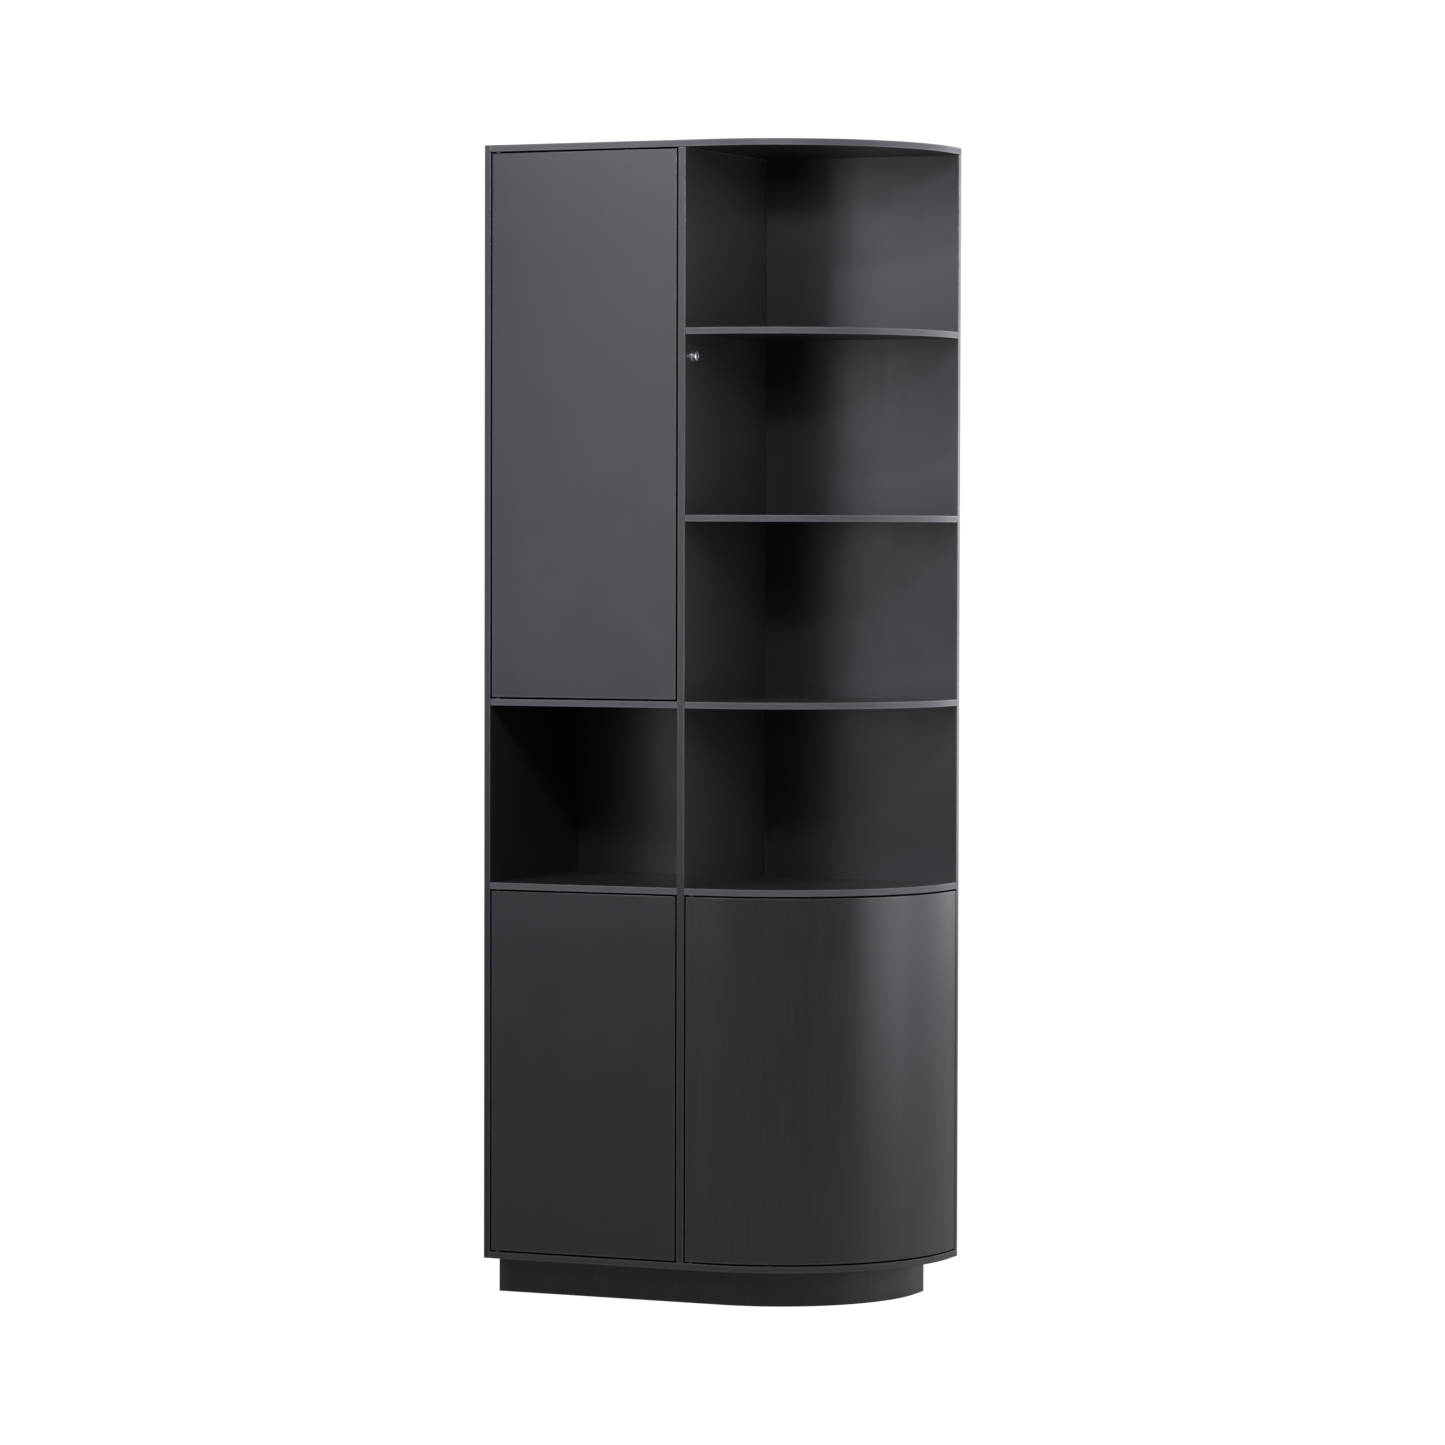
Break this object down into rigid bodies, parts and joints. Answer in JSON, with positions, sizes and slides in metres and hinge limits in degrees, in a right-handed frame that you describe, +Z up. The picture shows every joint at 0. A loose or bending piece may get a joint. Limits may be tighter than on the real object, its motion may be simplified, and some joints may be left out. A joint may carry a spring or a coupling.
{
  "type": "curio cabinet",
  "caption": "Tall dark cabinet: flat-door column with an open niche beside a column of open shelves with a rounded front corner, over a cupboard with a curved door.",
  "frame": {"origin": "centre of the footprint, on the floor", "axes": "+Z up, the front faces -Y, the rounded open shelves are at +X"},
  "size_m": [0.78, 0.3884, 2.1],
  "materials": {
    "panel": "satin charcoal wood-grain foil",
    "back": "satin charcoal foil",
    "plinth": "satin dark wood-grain foil",
    "steel": "bright zinc plate",
    "nylon": "matt moulded nylon"
  },
  "bodies": {
    "carcass": {"left_side_panel": "panel", "centre_divider": "panel", "top_panel": "panel", "bottom_panel": "panel", "niche_top_shelf": "panel", "niche_bottom_shelf": "panel", "curved_shelf_1": "panel", "curved_shelf_2": "panel", "curved_shelf_3": "panel", "curved_shelf_4": "panel", "upper_inner_shelf_1": "panel", "upper_inner_shelf_2": "panel", "lower_inner_shelf": "panel", "curved_inner_shelf": "panel", "left_back_panel": "back", "right_back_panel": "back", "plinth_front_fascia": "plinth", "plinth_left_board": "plinth", "plinth_back_board": "plinth", "plinth_rail_left": "plinth", "plinth_rail_centre": "plinth", "upper_inner_shelf_1_bearer_left": "steel", "upper_inner_shelf_1_bearer_right": "steel", "upper_inner_shelf_2_bearer_left": "steel", "upper_inner_shelf_2_bearer_right": "steel", "lower_inner_shelf_bearer_left": "steel", "lower_inner_shelf_bearer_right": "steel", "curved_inner_shelf_bearer_left": "steel", "curved_inner_shelf_bearer_back": "steel", "upper_left_door_latch_bolt": "steel", "lower_left_door_latch_bolt": "steel", "cam_lock_1": "steel", "cam_lock_2": "steel", "cam_lock_3": "steel", "cam_lock_4": "steel", "upper_left_door_lower_bush": "nylon", "upper_left_door_upper_bush": "nylon", "lower_left_door_lower_bush": "nylon", "lower_left_door_upper_bush": "nylon", "curved_door_lower_bush": "nylon", "curved_door_upper_bush": "nylon", "upper_left_door_latch_housing": "nylon", "lower_left_door_latch_housing": "nylon", "curved_door_latch_housing": "nylon"},
    "upper_left_door": {"upper_left_door": "panel", "upper_left_door_lower_pin": "steel", "upper_left_door_upper_pin": "steel", "upper_left_door_strike_plate": "steel"},
    "lower_left_door": {"lower_left_door": "panel", "lower_left_door_lower_pin": "steel", "lower_left_door_upper_pin": "steel", "lower_left_door_strike_plate": "steel"},
    "curved_door": {"curved_door": "panel", "curved_door_lower_pin": "steel", "curved_door_upper_pin": "steel", "curved_door_strike_plate": "steel"},
    "upper_left_door_plunger": {"upper_left_door_latch_plunger": "steel"},
    "lower_left_door_plunger": {"lower_left_door_latch_plunger": "steel"},
    "curved_door_plunger": {"curved_door_latch_plunger": "steel"}
  },
  "joints": [
    {"name": "upper_left_door_pivot", "type": "hinge", "parent": "carcass", "child": "upper_left_door", "pos_m": [-0.3645, -0.18615, 1.097], "axis": [0, 0, -1], "range_deg": [0, 110]},
    {"name": "lower_left_door_pivot", "type": "hinge", "parent": "carcass", "child": "lower_left_door", "pos_m": [-0.3645, -0.18615, 0.0845], "axis": [0, 0, -1], "range_deg": [0, 110]},
    {"name": "curved_door_pivot", "type": "hinge", "parent": "carcass", "child": "curved_door", "pos_m": [0.0225, -0.18715, 0.0845], "axis": [0, 0, -1], "range_deg": [0, 110]},
    {"name": "upper_left_door_plunger_slide", "type": "slide", "parent": "carcass", "child": "upper_left_door_plunger", "axis": [0, 1, 0], "range_m": [0, 0.003], "stiffness_N_per_m": 400, "springref_m": -0.004},
    {"name": "lower_left_door_plunger_slide", "type": "slide", "parent": "carcass", "child": "lower_left_door_plunger", "axis": [0, 1, 0], "range_m": [0, 0.003], "stiffness_N_per_m": 400, "springref_m": -0.004},
    {"name": "curved_door_plunger_slide", "type": "slide", "parent": "carcass", "child": "curved_door_plunger", "axis": [-1, 0, 0], "range_m": [0, 0.003], "stiffness_N_per_m": 400, "springref_m": -0.004}
  ]
}
